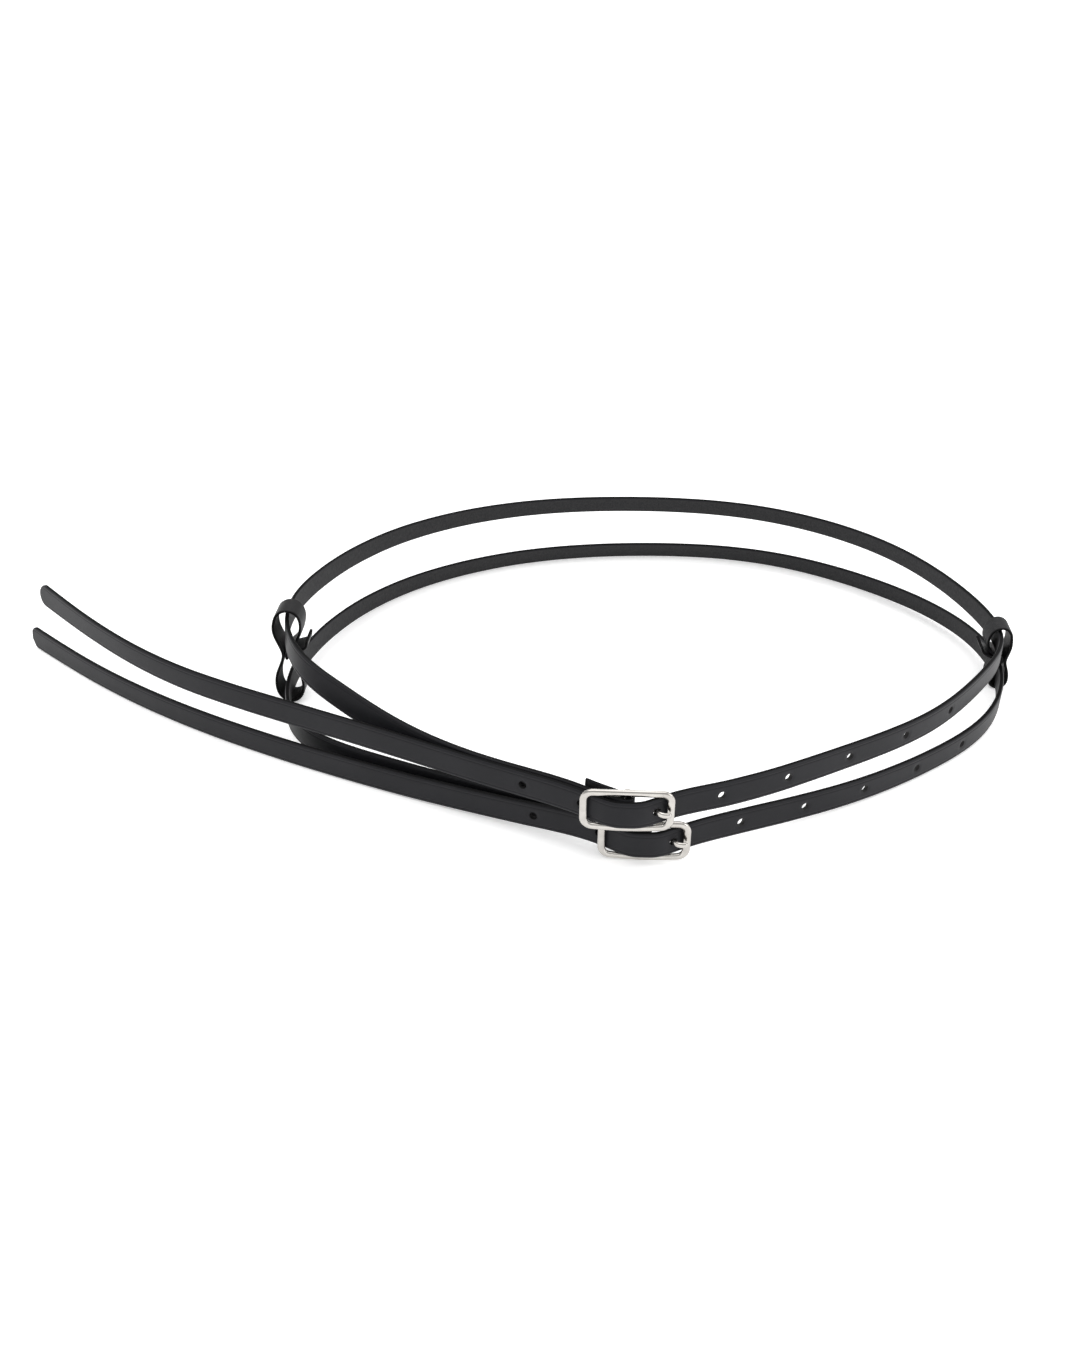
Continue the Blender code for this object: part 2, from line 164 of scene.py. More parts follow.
LEFT_LOOP = (
    (-9.2, 6.6),
    (-8.4, 3.6),
    (-3.6, 1.7),
    (-1.5, 0.0),
    (-2.0, -2.4),
    (-5.2, -10.0),
    (-5.6, -14.5),
    (-4.0, -20.2),
    (0.2, -22.58),
    (4.3, -20.2),
    (5.8, -14.5),
    (5.0, -9.5),
    (2.1, -2.6),
    (1.5, 0.0),
    (1.9, 2.6),
    (3.4, 7.0),
    (4.3, 11.0),
    (3.7, 15.5),
    (1.4, 19.4),
    (-2.0, 20.6),
    (-5.6, 19.2),
    (-7.2, 15.5),
    (-6.6, 10.5),
    (-3.4, 4.6),
    (-0.6, 1.8),
    (0.0, 0.0),
    (0.0, -2.0),
)

# Centre line of each strap away from its buckle: x, y, z, lean of the top edge towards the middle (degrees)
UPPER_TAIL = (
    (-275.2, 19.9, 29.5, 10.0),
    (-236.5, -17.5, 27.8, 3.0),
    (-194.0, -50.5, 26.4, 2.0),
    (-148.0, -74.5, 25.0, 2.0),
    (-99.0, -98.0, 23.8, 2.0),
    (-60.0, -118.0, 23.5, 2.0),
)
UPPER_RING = (
    (14.2, -127.4, 23.4, 3.0),
    (61.0, -105.3, 23.4, 1.0),
    (101.0, -80.8, 23.9, -1.0),
    (130.5, -50.7, 24.2, 0.0),
    (151.5, -11.0, 22.8, 4.0),
    (145.0, 28.0, 26.3, 13.0),
    (119.0, 78.0, 28.8, 21.0),
    (69.5, 115.0, 30.2, 25.0),
    (7.0, 126.0, 31.2, 26.0),
    (-58.5, 116.5, 32.0, 23.0),
    (-117.5, 77.3, 33.4, 16.0),
    (-147.4, 25.0, 34.8, 8.0),
    (-154.0, -22.0, 35.4, 6.0),
    (-140.6, -57.0, 33.6, 12.0),
    (-124.0, -74.0, 30.6, 18.0),
    (-104.0, -89.4, 26.6, 12.0),
    (-62.0, -114.8, 23.8, 4.0),
)
LOWER_TAIL = (
    (-285.8, 23.9, 5.08, 8.0),
    (-243.0, -12.9, 5.05, 2.0),
    (-198.5, -44.4, 5.05, 1.0),
    (-142.5, -75.6, 5.1, 1.0),
    (-92.5, -99.1, 5.6, 1.0),
    (-50.0, -117.6, 7.4, 1.0),
)
LOWER_RING = (
    (18.5, -123.8, 7.9, 3.0),
    (63.5, -103.8, 5.8, 1.0),
    (105.0, -79.3, 5.25, -1.0),
    (135.0, -53.2, 5.7, 0.0),
    (154.4, -11.0, 6.6, 3.0),
    (151.4, 30.0, 6.3, 15.0),
    (122.5, 79.0, 5.2, 21.0),
    (72.0, 115.0, 5.0, 26.0),
    (8.0, 125.5, 4.9, 28.0),
    (-58.5, 114.5, 5.0, 25.0),
    (-118.5, 76.0, 5.2, 17.0),
    (-149.4, 20.0, 6.6, 7.0),
    (-155.6, -22.0, 7.0, 4.0),
    (-145.6, -60.0, 7.0, 3.0),
    (-103.5, -89.0, 6.8, 2.0),
    (-55.0, -111.4, 7.6, 0.0),
)
# Layers of a strap inside its buckle: along and out, with a third number up where the end is turned back
FREE_LAYER = ((-15.1, -3.0), (-9.5, 0.4), (-4.2, 2.95), (0.0, 3.2), (4.2, 2.85), (9.6, 0.2), (15.1, -3.0))
WRAP_LAYER = ((-15.1, -5.9), (-9.5, -2.5), (-4.5, -0.05))
BACK_LAYER = ((-4.5, -4.1, 0.6), (-9.5, -6.2, 1.1), (-14.2, -8.7, 1.4))
WRAP_RADIUS = 2.0
# Prong from its curl to its tip: along and out
PRONG_SHANK = (
    (2.6, 0.5),
    (5.2, -0.8),
    (7.6, -1.35),
    (8.95, -0.8),
    (9.7, 0.3),
    (10.6, 1.6),
    (12.2, 2.6),
    (13.6, 2.65),
    (14.9, 2.3),
)


# ---------------------------------------------------------------- materials


class Shader:
    """Short calls for building one material's nodes."""

    def __init__(self, name):
        self.material = bpy.data.materials.new(name)
        self.material.use_nodes = True
        self.tree = self.material.node_tree
        self.principled = self.tree.nodes["Principled BSDF"]
        self.place = self.add("ShaderNodeTexCoord").outputs["Object"]

    def add(self, kind, **settings):
        made = self.tree.nodes.new(kind)
        for key, value in settings.items():
            setattr(made, key, value)
        return made

    def feed(self, socket, value):
        if isinstance(value, bpy.types.NodeSocket):
            self.tree.links.new(value, socket)
        else:
            socket.default_value = value

    def stretched(self, scale):
        mapping = self.add("ShaderNodeMapping")
        self.feed(mapping.inputs["Vector"], self.place)
        self.feed(mapping.inputs["Scale"], scale)
        return mapping.outputs["Vector"]

    def noise(self, scale, detail=3.0, rough=0.55, place=None):
        made = self.add("ShaderNodeTexNoise")
        self.feed(made.inputs["Vector"], place or self.place)
        self.feed(made.inputs["Scale"], scale)
        self.feed(made.inputs["Detail"], detail)
        self.feed(made.inputs["Roughness"], rough)
        return made.outputs["Fac"]

    def span(self, value, low, high, to_low=0.0, to_high=1.0):
        made = self.add("ShaderNodeMapRange", interpolation_type="SMOOTHSTEP")
        for name, number in zip(
            ("Value", "From Min", "From Max", "To Min", "To Max"), (value, low, high, to_low, to_high)
        ):
            self.feed(made.inputs[name], number)
        return made.outputs["Result"]

    def math(self, operation, first, second):
        made = self.add("ShaderNodeMath", operation=operation)
        self.feed(made.inputs[0], first)
        self.feed(made.inputs[1], second)
        return made.outputs["Value"]

    def mix(self, share, first, second):
        made = self.add("ShaderNodeMix", data_type="RGBA")
        self.feed(made.inputs["Factor"], share)
        self.feed(made.inputs["A"], (*first, 1.0) if isinstance(first, tuple) else first)
        self.feed(made.inputs["B"], (*second, 1.0) if isinstance(second, tuple) else second)
        return made.outputs["Result"]

    def painted(self, name):
        """A value stored on the mesh's points."""
        return self.add("ShaderNodeAttribute", attribute_name=name).outputs["Fac"]

    def bump(self, height, distance, strength, below=None):
        made = self.add("ShaderNodeBump")
        self.feed(made.inputs["Height"], height)
        self.feed(made.inputs["Distance"], distance)
        self.feed(made.inputs["Strength"], strength)
        if below is not None:
            self.feed(made.inputs["Normal"], below)
        return made.outputs["Normal"]


def leather(name, colour, worn, grain_scale):
    """Smooth dyed leather: grain on one side, fibres on the flesh side, edge paint and a creased line."""
    s = Shader(name)
    edge, flesh, crease = s.painted("edge"), s.painted("flesh"), s.painted("crease")
    cloud = s.noise(38.0, 4.0, 0.6)
    fine = s.noise(grain_scale, 3.0, 0.6)
    face = s.mix(s.span(cloud, 0.35, 0.68), colour, worn)
    fibres = s.noise(1500.0, 5.0, 0.7, s.stretched((1.0, 1.0, 0.35)))
    inner = s.mix(s.span(fibres, 0.3, 0.7), (0.012, 0.012, 0.013), (0.028, 0.028, 0.029))
    shade = s.mix(flesh, face, inner)
    shade = s.mix(s.math("MULTIPLY", crease, 0.5), shade, (0.004, 0.004, 0.0045))
    shade = s.mix(edge, shade, (0.004, 0.004, 0.0042))
    s.feed(s.principled.inputs["Base Color"], shade)
    gloss = s.span(fine, 0.25, 0.8, 0.4, 0.5)
    gloss = s.math("ADD", gloss, s.math("MULTIPLY", s.math("MAXIMUM", flesh, edge), 0.16))
    s.feed(s.principled.inputs["Roughness"], gloss)
    s.feed(s.principled.inputs["Specular IOR Level"], s.span(edge, 0.0, 1.0, 0.15, 0.06))
    surface = s.bump(fine, 0.00003, 0.3)
    surface = s.bump(s.math("MULTIPLY", fibres, flesh), 0.0001, 0.5, surface)
    surface = s.bump(s.noise(160.0, 3.0), 0.00018, 0.25, surface)
    s.feed(s.principled.inputs["Normal"], surface)
    return s.material


def cut_edge(name):
    """The raw walls of punched holes and cut slots, stained dark."""
    s = Shader(name)
    layers = s.noise(2600.0, 4.0, 0.7)
    s.feed(s.principled.inputs["Base Color"], s.mix(layers, (0.004, 0.004, 0.0045), (0.016, 0.015, 0.015)))
    s.feed(s.principled.inputs["Roughness"], s.span(layers, 0.2, 0.8, 0.6, 0.85))
    s.feed(s.principled.inputs["Normal"], s.bump(layers, 0.0001, 0.6))
    return s.material


def nickel(name):
    """Polished nickel plating, with faint polishing lines, soft tarnish and small handling marks."""
    s = Shader(name)
    cloud = s.noise(210.0, 4.0, 0.6)
    lines = s.noise(2400.0, 3.0, 0.6, s.stretched((0.12, 1.0, 1.0)))
    marks = s.span(s.noise(1300.0, 2.0, 0.5), 0.62, 0.8)
    tone = s.mix(s.span(cloud, 0.3, 0.75), (0.55, 0.53, 0.50), (0.46, 0.44, 0.415))
    s.feed(s.principled.inputs["Base Color"], tone)
    s.feed(s.principled.inputs["Metallic"], 1.0)
    rough = s.math("ADD", s.span(cloud, 0.3, 0.8, 0.12, 0.2), s.math("MULTIPLY", marks, 0.12))
    s.feed(s.principled.inputs["Roughness"], rough)
    surface = s.bump(lines, 0.00001, 0.25)
    surface = s.bump(cloud, 0.00006, 0.2, surface)
    s.feed(s.principled.inputs["Normal"], surface)
    return s.material


def waxed_thread(name):
    s = Shader(name)
    fuzz = s.noise(5200.0, 4.0, 0.7)
    s.feed(s.principled.inputs["Base Color"], s.mix(fuzz, (0.006, 0.006, 0.006), (0.03, 0.03, 0.03)))
    s.feed(s.principled.inputs["Roughness"], s.span(fuzz, 0.2, 0.8, 0.45, 0.7))
    s.feed(s.principled.inputs["Normal"], s.bump(fuzz, 0.00005, 0.5))
    return s.material


def pale_floor(name):
    s = Shader(name)
    cloud = s.noise(6.0, 3.0)
    s.feed(s.principled.inputs["Base Color"], s.mix(cloud, (0.9, 0.9, 0.9), (0.92, 0.92, 0.92)))
    s.feed(s.principled.inputs["Roughness"], 0.7)
    s.feed(s.principled.inputs["Specular IOR Level"], 0.15)
    s.feed(s.principled.inputs["Emission Color"], (1.0, 1.0, 1.0, 1.0))
    s.feed(s.principled.inputs["Emission Strength"], FLOOR_GLOW)
    return s.material


# ---------------------------------------------------------------- shapes


def unit(vectors):
    return vectors / np.linalg.norm(vectors, axis=-1, keepdims=True)


class Route:
    """A smooth curve through given rows (x, y, z and any other channels), read by distance along its chords."""

    def __init__(self, rows):
        self.rows = np.array(rows, float)
        chords = np.linalg.norm(np.diff(self.rows[:, :3], axis=0), axis=1)
        self.knots = np.concatenate([[0.0], np.cumsum(chords)])
        count = len(self.knots)
        system = np.zeros((count, count))
        right = np.zeros((count, self.rows.shape[1]))
        system[0, 0] = system[-1, -1] = 1.0
        for i in range(1, count - 1):
            before, after = chords[i - 1], chords[i]
            system[i, i - 1 : i + 2] = before, 2.0 * (before + after), after
            rise, fall = self.rows[i + 1] - self.rows[i], self.rows[i] - self.rows[i - 1]
            right[i] = 6.0 * (rise / after - fall / before)
        self.second = np.linalg.solve(system, right)

    def at(self, distances):
        distances = np.asarray(distances, float)
        index = np.clip(np.searchsorted(self.knots, distances, side="right") - 1, 0, len(self.knots) - 2)
        span = (self.knots[index + 1] - self.knots[index])[:, None]
        b = ((distances - self.knots[index])[:, None]) / span
        a = 1.0 - b
        bend = ((a**3 - a) * self.second[index] + (b**3 - b) * self.second[index + 1]) * span**2 / 6.0
        return a * self.rows[index] + b * self.rows[index + 1] + bend

    def direction(self, distances):
        distances = np.asarray(distances, float)
        return unit(self.at(distances + 0.02)[:, :3] - self.at(distances - 0.02)[:, :3])

    def stations(self, step, least):
        """Distances along the route: at least this many in each span, and no further apart than the step."""
        spans = []
        for start, end in zip(self.knots[:-1], self.knots[1:]):
            parts = max(least, math.ceil((end - start) / step))
            spans.append(np.linspace(start, end, parts, endpoint=False))
        return np.concatenate([*spans, [self.knots[-1]]])


def mesh_object(name, vertices, faces, materials, attributes=None):
    mesh = bpy.data.meshes.new(name)
    mesh.from_pydata([tuple((np.asarray(v) + CENTRE) * MM) for v in vertices], [], faces)
    for material in materials:
        mesh.materials.append(material)
    for key, values in (attributes or {}).items():
        layer = mesh.attributes.new(key, "FLOAT", "POINT")
        layer.data.foreach_set("value", np.asarray(values, np.float32))
    mesh.shade_smooth()
    obj = bpy.data.objects.new(name, mesh)
    bpy.context.scene.collection.objects.link(obj)
    return obj


def strip_section(width, thickness, round_outer, round_inner, creased, middle_step):
    """The points of a strip's section in order round it.

    Each row is (side, distance from that side's edge, height, edge paint, flesh, crease), where side is +1
    for the top edge and -1 for the bottom edge, and height is measured from the strip's middle plane.
    """
    half, t = width / 2.0, thickness / 2.0
    rows = []

    def corner(side, radius, sign, reverse):
        reach = radius * SHOULDER_STRETCH
        angles = np.radians([0.0, 8.0, 22.0, 40.0, 65.0, 90.0])
        angles = angles[::-1] if reverse else angles
        for a in angles:
            paint = float(np.clip(1.0 - (a - 0.1) / 0.35, 0.0, 1.0))
            height = sign * (t - radius + radius * math.sin(a))
            rows.append((side, reach * (1.0 - math.cos(a)), height, paint, 0.0, 0.0))

    def face(sign, flesh, direction):
        """From the top edge to the bottom edge, or back."""
        radius = round_outer if sign > 0 else round_inner
        from_edge = [(radius * SHOULDER_STRETCH + 0.08, 0.0, 0.0)]
        if creased and sign > 0:
            for offset, depth in ((-0.3, 0.0), (-0.14, 0.6), (0.0, 1.0), (0.14, 0.6), (0.3, 0.0)):
                from_edge.append((CREASE_PLACE + offset, CREASE_DEPTH * depth, depth))
        start = from_edge[-1][0] + 0.45
        middle = np.arange(start, half - 0.2, middle_step)
        from_edge += [(d, 0.0, 0.0) for d in middle]
        one = [(1, d, sign * (t - e), 0.0, flesh, c) for d, e, c in from_edge]
        other = [(-1, d, sign * (t - e), 0.0, flesh, c) for d, e, c in reversed(from_edge)]
        centre = [(1, half, sign * t, 0.0, flesh, 0.0)]
        line = one + centre + other
        rows.extend(line if direction > 0 else line[::-1])

    corner(1, round_outer, 1, False)
    face(1, 0.0, 1)
    corner(-1, round_outer, 1, True)
    corner(-1, round_inner, -1, False)
    face(-1, 1.0, -1)
    corner(1, round_inner, -1, True)
    return np.array(rows)


def strip(name, points, across, outward, top, bottom, thickness, section, nominal, materials):
    """A flat strip of leather. The section's heights are scaled by thickness / nominal at each point."""
    vertices, edge, flesh, crease = [], [], [], []
    side, inset, height = section[:, 0], section[:, 1], section[:, 2]
    widest = inset.max()
    for p, w, m, high, low, thick in zip(points, across, outward, top, bottom, thickness):
        reach = (high - low) / 2.0
        squeeze = min(1.0, reach / widest)
        middle = (high + low) / 2.0
        near_edge = np.where(side > 0, high - inset * squeeze, low + inset * squeeze)
        a = np.where(inset >= widest - 1e-6, middle, near_edge)
        b = height * thick / nominal
        wobble = 0.05 * noise.noise(Vector(p) * 0.06)
        a = a + wobble
        vertices.extend(p + np.outer(a, w) + np.outer(b, m))
        edge.extend(section[:, 3])
        flesh.extend(section[:, 4])
        crease.extend(section[:, 5])
    n = len(section)
    count = len(points)
    faces = [tuple(reversed(range(n))), tuple(range(n * (count - 1), n * count))]
    for i in range(count - 1):
        for j in range(n):
            k = (j + 1) % n
            faces.append((n * i + j, n * i + k, n * i + n + k, n * i + n + j))
    edge[:n] = [1.0] * n
    edge[-n:] = [1.0] * n
    return mesh_object(name, vertices, faces, materials, {"edge": edge, "flesh": flesh, "crease": crease})


def sweep(name, points, across, radius_across, radius_out, closed, materials, sides=20):
    """A rod along points. Its section is an ellipse with one axis in the given direction at each point."""
    points = np.asarray(points)
    if closed:
        along = unit(np.roll(points, -1, axis=0) - np.roll(points, 1, axis=0))
    else:
        along = unit(np.gradient(points, axis=0))
    across = unit(across - (across * along).sum(axis=1)[:, None] * along)
    out = np.cross(along, across)
    angles = np.linspace(0.0, 2.0 * math.pi, sides, endpoint=False)
    vertices = []
    for p, w, m, ra, ro in zip(points, across, out, radius_across, radius_out):
        for a in angles:
            vertices.append(p + ra * math.cos(a) * w + ro * math.sin(a) * m)
    count = len(points)
    faces = []
    for i in range(count if closed else count - 1):
        for j in range(sides):
            k, nxt = (j + 1) % sides, (i + 1) % count
            faces.append((sides * i + j, sides * i + k, sides * nxt + k, sides * nxt + j))
    if not closed:
        faces += [tuple(reversed(range(sides))), tuple(range(sides * (count - 1), sides * count))]
    return mesh_object(name, vertices, faces, materials)


def rods(name, ends, diameter, segments, material):
    shape = bmesh.new()
    for start, end in ends:
        start, end = Vector(start + CENTRE) * MM, Vector(end + CENTRE) * MM
        turn = (end - start).to_track_quat("Z", "Y").to_matrix().to_4x4()
        bmesh.ops.create_cone(
            shape,
            cap_ends=True,
            segments=segments,
            radius1=diameter / 2.0 * MM,
            radius2=diameter / 2.0 * MM,
            depth=(end - start).length,
            matrix=Matrix.Translation((start + end) / 2.0) @ turn,
        )
    return scratch(name, shape, material)


def scratch(name, shape, material):
    mesh = bpy.data.meshes.new(name)
    shape.to_mesh(mesh)
    shape.free()
    mesh.materials.append(material)
    obj = bpy.data.objects.new(name, mesh)
    bpy.context.scene.collection.objects.link(obj)
    return obj


def combine(obj, other, operation):
    """Applies a Boolean with another object, which is then removed."""
    modifier = obj.modifiers.new("combine", "BOOLEAN")
    modifier.operation = operation
    modifier.solver = "EXACT"
    modifier.material_mode = "TRANSFER"
    modifier.object = other
    applied(obj)
    bpy.data.objects.remove(other, do_unlink=True)


def applied(obj):
    graph = bpy.context.evaluated_depsgraph_get()
    mesh = bpy.data.meshes.new_from_object(obj.evaluated_get(graph))
    old = obj.data
    obj.modifiers.clear()
    obj.data = mesh
    mesh.name = old.name
    bpy.data.meshes.remove(old)


def sharpen(obj, degrees):
    obj.data.shade_smooth()
    obj.data.set_sharp_from_angle(angle=math.radians(degrees))


class Buckle:
    """The axes of one buckle: u along the strap, n outwards, w up the centre bar."""

    def __init__(self, origin):
        yaw = math.radians(BUCKLE_YAW)
        self.origin = np.array(origin)
        self.u = np.array([math.cos(yaw), math.sin(yaw), 0.0])
        self.n = np.array([math.sin(yaw), -math.cos(yaw), 0.0])
        self.w = UP

    def point(self, u, n, w=0.0):
        return self.origin + u * self.u + n * self.n + w * self.w


# ---------------------------------------------------------------- straps


def strap_route(tail, ring, buckle):
    wrap = [
        (WRAP_RADIUS * math.cos(a), -BAR_RECESS + WRAP_RADIUS * math.sin(a))
        for a in np.radians(np.linspace(90.0, -90.0, 7))
    ]
    rows = [*tail]
    rows += [(*buckle.point(u, n), BUCKLE_LEAN) for u, n in FREE_LAYER]
    in_use = len(tail) + 5
    rows += [*ring]
    thinned = len(rows) + 1
    rows += [(*buckle.point(u, n), 0.0) for u, n in [*WRAP_LAYER, *wrap]]
    rows += [(*buckle.point(u, n, w), 0.0) for u, n, w in BACK_LAYER]
    return Route(rows), in_use, thinned


def strap_axes(route, distances):
    rows = route.at(distances)
    along = route.direction(distances)
    side = unit(np.cross(along, UP))
    lean = np.radians(rows[:, 3])[:, None]
    across = UP * np.cos(lean) - side * np.sin(lean)
    across = unit(across - (across * along).sum(axis=1)[:, None] * along)
    return rows[:, :3], across, np.cross(along, across)


def dish_holes(obj, centres, outwards):
    """Presses the leather in a little round each punched hole, on the grain side."""
    mesh = obj.data
    co = np.empty(len(mesh.vertices) * 3)
    mesh.vertices.foreach_get("co", co)
    co = co.reshape(-1, 3) / MM - CENTRE
    for centre, out in zip(centres, outwards):
        offset = co - centre
        height = offset @ out
        radial = np.linalg.norm(offset - height[:, None] * out, axis=1)
        share = np.clip(1.0 - (radial - HOLE_DIAMETER / 2.0) / HOLE_DISH_REACH, 0.0, 1.0)
        share = share * share * (3.0 - 2.0 * share)
        near = np.abs(height) < STRAP_THICKNESS
        co -= np.outer(np.where(near & (height > 0.0), HOLE_DISH * share, 0.0), out)
    mesh.vertices.foreach_set("co", ((co + CENTRE) * MM).ravel())
    mesh.update()


def make_strap(side, tail, ring, buckle, clipped, hide, raw):
    route, in_use, thinned = strap_route(tail, ring, buckle)
    punched = route.knots[in_use] + np.array(HOLES[side])
    tip = np.array([0.04, 0.12, 0.25, 0.45, 0.7, 1.0, 1.4, 1.9, 2.5, 3.2, 4.0, 5.0])
    distances = [tip, route.stations(STEP, 6)]
    distances += [s + np.arange(-3.2, 3.25, 0.4) for s in punched]
    distances = np.unique(np.round(np.concatenate(distances), 3))
    distances = distances[(distances <= 5.0) & np.isin(distances, tip) | (distances > 5.6)]
    keep = np.concatenate([[True], np.diff(distances) > 0.12])
    distances = distances[keep]
    points, across, outward = strap_axes(route, distances)

    half = STRAP_WIDTH / 2.0
    if clipped:  # one corner rounded, the other cut off straight
        near = np.minimum(distances, 3.2)
        top = half - 3.2 + np.sqrt(3.2**2 - (3.2 - near) ** 2)
        bottom = -half + np.maximum(0.0, 3.4 - 1.15 * distances)
    else:
        near = np.minimum(distances, half)
        top = np.sqrt(half**2 - (half - near) ** 2)
        bottom = -top
    thickness = np.interp(
        distances, [route.knots[thinned - 1], route.knots[thinned + 1]], [STRAP_THICKNESS, SKIVED_THICKNESS]
    )
    section = strip_section(STRAP_WIDTH, STRAP_THICKNESS, 0.58, 0.35, True, 0.55)
    strap = strip(
        side + "_strap_leather",
        points,
        across,
        outward,
        top,
        bottom,
        thickness,
        section,
        STRAP_THICKNESS,
        [hide, raw],
    )
    centres, _, out = strap_axes(route, punched)
    dish_holes(strap, centres, out)
    ends = [(p - HOLE_CUT_REACH * m, p + HOLE_CUT_REACH * m) for p, m in zip(centres, out)]
    start, end = ends.pop(HOLE_IN_USE)
    middle, slant = (start + end) / 2.0, unit(buckle.u + buckle.n)
    combine(strap, rods(side + "_punch", ends, HOLE_DIAMETER, 48, raw), "DIFFERENCE")
    for shift in (0.0, FILLED_HOLE_STRETCH):
        worn = middle + shift * buckle.u
        filled = [(worn - FILLED_HOLE_CUT_REACH * slant, worn + FILLED_HOLE_CUT_REACH * slant)]
        combine(strap, rods(side + "_pierced", filled, FILLED_HOLE_DIAMETER, 48, raw), "DIFFERENCE")
    combine(strap, slot_cutter(side, buckle, raw), "DIFFERENCE")
    return strap


def slot_cutter(side, buckle, raw):
    """The long rounded slot that the prong comes through, where the strap wraps the centre bar."""
    middle_u, middle_n = PRONG_SLOT_CENTRE
    reach = (PRONG_SLOT_LENGTH - PRONG_SLOT) / 2.0
    outline = []
    for end, start in ((1, -90), (-1, 90)):
        for a in np.radians(np.linspace(start, start + 180, 13)):
            outline.append((end * reach + PRONG_SLOT / 2.0 * math.cos(a), PRONG_SLOT / 2.0 * math.sin(a)))
    shape = bmesh.new()
    rings = []
    for n in (middle_n + PRONG_SLOT_DEPTH / 2.0, middle_n - PRONG_SLOT_DEPTH / 2.0):
        points = [(buckle.point(middle_u + u, n, w) + CENTRE) * MM for u, w in outline]
        rings.append([shape.verts.new(p) for p in points])
    shape.faces.new(rings[0])
    shape.faces.new(rings[1][::-1])
    for i in range(len(outline)):
        k = (i + 1) % len(outline)
        shape.faces.new((rings[0][k], rings[0][i], rings[1][i], rings[1][k]))
    bmesh.ops.recalc_face_normals(shape, faces=shape.faces)
    return scratch(side + "_slot", shape, raw)


# ---------------------------------------------------------------- buckles


def frame_path():
    """Centre line of the frame in its own plane: u, w and how far it bows outwards."""
    half_u = (FRAME_LENGTH - FRAME_WIRE) / 2.0
    half_w = (FRAME_HEIGHT - FRAME_WIRE) / 2.0
    corners = []
    for cu, cw, start in ((1, 1, 0), (-1, 1, 90), (-1, -1, 180), (1, -1, 270)):
        for angle in np.radians(np.linspace(start, start + 90, 13)):
            corners.append(
                (
                    cu * (half_u - FRAME_CORNER) + FRAME_CORNER * math.cos(angle),
                    cw * (half_w - FRAME_CORNER) + FRAME_CORNER * math.sin(angle),
                )
            )
    rows = []
    for (u, w), (next_u, next_w) in zip(corners, corners[1:] + corners[:1]):
        length = math.hypot(next_u - u, next_w - w)
        parts = max(1, round(length / 0.8))
        for i in range(parts):
            u_here, w_here = u + (next_u - u) * i / parts, w + (next_w - w) * i / parts
            arch = math.cos(math.pi * u_here / (2.0 * half_u))
            rows.append((u_here, w_here + FRAME_BARREL * arch * w_here / half_w, FRAME_BOW * arch))
    return rows


def make_frame(side, buckle, metal):
    """The cast frame: a softly squared wire, a little heavier at the two ends, with its flared centre bar."""
    rows = frame_path()
    points = np.array([buckle.point(u, n, w) for u, w, n in rows])
    heavy = np.array([abs(u) for u, _, _ in rows]) / (FRAME_LENGTH / 2.0)
    heavy = 1.0 + 0.05 * np.clip((heavy - 0.8) / 0.15, 0.0, 1.0)
    radius = FRAME_WIRE / 2.0
    out = np.tile(buckle.n, (len(points), 1))
    flat = np.full(len(points), radius * FRAME_FLATNESS)
    obj = sweep(side + "_frame", points, out, flat, radius * heavy, True, [metal], 28)
    reach = (FRAME_HEIGHT - FRAME_WIRE) / 2.0 + FRAME_BARREL
    heights = np.concatenate([[-reach], np.linspace(-reach + 1.0, -reach + 2.6, 7), [0.0]])
    heights = np.concatenate([heights, -heights[-2::-1]])
    flare = np.clip((np.abs(heights) - (reach - 2.6)) / 1.6, 0.0, 1.0)
    thick = BAR_DIAMETER / 2.0 + 0.4 * flare**2
    line = np.array([buckle.point(0.0, -BAR_RECESS, h) for h in heights])
    bar = sweep(side + "_bar", line, np.tile(buckle.n, (len(line), 1)), thick, thick, False, [metal], 28)
    combine(obj, bar, "UNION")
    sharpen(obj, 50)
    return obj


def make_prong(side, buckle, metal):
    """A flattened rod curled round the centre bar, bent up through the strap's hole, with a domed tip."""
    eye = [
        (PRONG_EYE_RADIUS * math.cos(a), -BAR_RECESS + PRONG_EYE_RADIUS * math.sin(a))
        for a in np.radians(np.linspace(-25.0, -270.0, 8))
    ]
    route = Route([buckle.point(u, n) for u, n in [*eye, *PRONG_SHANK]])
    length = route.knots[-1]
    ends = np.array([0.03, 0.1, 0.22, 0.4, 0.62])
    distances = np.concatenate([ends, np.arange(0.9, length - 0.9, 0.35), length - ends[::-1]])
    points = route.at(distances)[:, :3]
    dome = 0.8
    from_end = np.minimum(distances, length - distances)
    cap = np.sqrt(np.clip(1.0 - (1.0 - np.minimum(from_end, dome) / dome) ** 2, 0.0, 1.0))
    eye_end = route.knots[len(eye) - 1]
    on_eye = np.clip((eye_end + 2.0 - distances) / 2.0, 0.0, 1.0)
    tip = np.clip((distances - (length - 4.0)) / 4.0, 0.0, 1.0)
    wide = (PRONG_WIDTH / 2.0) * (1.0 + 0.12 * on_eye - 0.12 * tip) * cap
    thick = (PRONG_THICKNESS / 2.0) * (1.0 - 0.12 * on_eye - 0.12 * tip) * cap
    obj = sweep(side + "_tongue", points, np.tile(UP, (len(points), 1)), wide, thick, False, [metal], 28)
    sharpen(obj, 60)
    return obj


# ---------------------------------------------------------------- loops and thread


